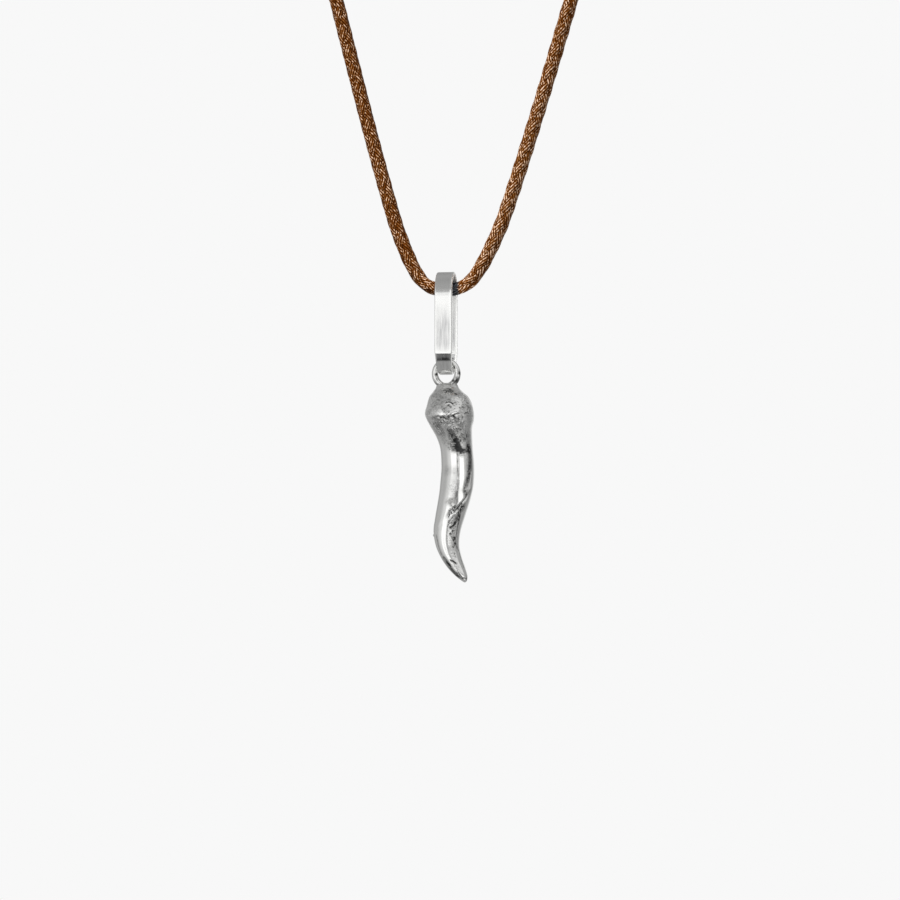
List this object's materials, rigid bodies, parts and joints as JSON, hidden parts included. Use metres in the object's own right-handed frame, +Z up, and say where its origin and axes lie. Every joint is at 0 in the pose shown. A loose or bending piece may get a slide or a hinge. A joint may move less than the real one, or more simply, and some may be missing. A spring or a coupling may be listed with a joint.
{
  "type": "cornicello horn pendant on a cord necklace",
  "caption": "Cast silver horn with a soldered ring, hung on a long flat-strip bail on a braided waxed cord that goes round the neck and is joined at the nape.",
  "frame": {"origin": "at the nape, where the front of the clasp rests against the wearer's neck", "axes": "+Z up, -Y out of the wearer's chest towards the viewer, +X to the right as the pendant is seen from the front"},
  "size_m": [0.118, 0.1224, 0.2402],
  "materials": {
    "cord": "waxed cotton, round braid",
    "clasp": "plain polished silver",
    "bail": "polished silver with fine scratches along its length",
    "horn": "cast silver, polished on the body and pitted and darkened at the head"
  },
  "bodies": {
    "root": {"cord": "cord", "clasp": "clasp"},
    "bail": {"bail": "bail"},
    "horn": {"horn": "horn"}
  },
  "joints": [
    {"name": "bail_swing", "type": "hinge", "parent": "root", "child": "bail", "pos_m": [0, -0.115, -0.198], "axis": [1, 0, 0], "range_deg": [-90, 90]},
    {"name": "horn_swing", "type": "hinge", "parent": "bail", "child": "horn", "pos_m": [0, -0.115, -0.20795], "axis": [1, 0, 0], "range_deg": [-90, 90]}
  ]
}
